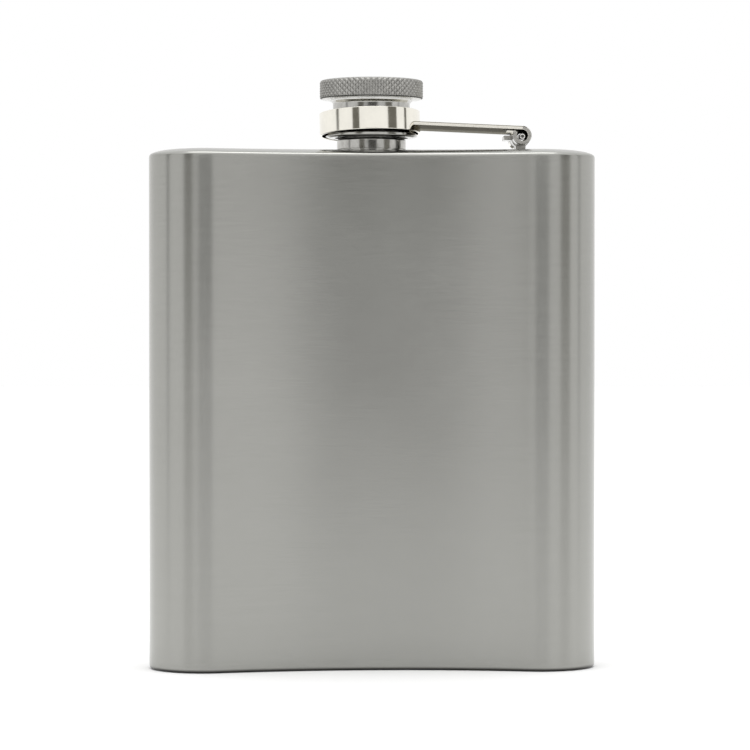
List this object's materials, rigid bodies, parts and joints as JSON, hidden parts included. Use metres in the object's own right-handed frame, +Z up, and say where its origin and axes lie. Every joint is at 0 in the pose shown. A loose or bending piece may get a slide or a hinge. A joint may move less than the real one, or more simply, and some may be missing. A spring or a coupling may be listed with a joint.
{
  "type": "hip flask",
  "caption": "Curved stainless pocket flask with a knurled screw cap held captive by a collar and a hinged flat strap on the shoulder.",
  "frame": {"origin": "middle of the bounding box at the base, on the surface the flask stands on", "axes": "+Z up along the neck, +X across the width towards the hinge, +Y towards the convex back; the concave face looks along -Y"},
  "size_m": [0.092, 0.0274, 0.1217],
  "materials": {
    "body_steel": "fine brushed satin, grain running across the width",
    "cap_steel": "matte machined with diamond knurl",
    "polished_fittings": "polished, slightly warm nickel tone",
    "thread_insert": "machined",
    "gasket": "soft matte sealing disc"
  },
  "bodies": {
    "flask": {"body_wrap": "body_steel", "bottom_plate": "body_steel", "top_plate": "body_steel", "neck_spout": "polished_fittings", "hinge_bracket": "polished_fittings", "hinge_pin": "polished_fittings"},
    "strap": {"hinge_strap": "polished_fittings", "collar_ring": "polished_fittings"},
    "cap": {"cap_head": "cap_steel", "cap_retaining_ring": "polished_fittings", "cap_thread_sleeve": "thread_insert", "sealing_gasket": "gasket"}
  },
  "joints": [
    {"name": "strap_swing", "type": "hinge", "parent": "flask", "child": "strap", "pos_m": [0.0309, 0.00225, 0.1096], "axis": [0, 1, 0], "range_deg": [0, 172]},
    {"name": "cap_turn", "type": "hinge", "parent": "strap", "child": "cap", "pos_m": [0, 0.00225, 0.113], "axis": [0, 0, 1], "range_deg": [0, 1080]}
  ]
}
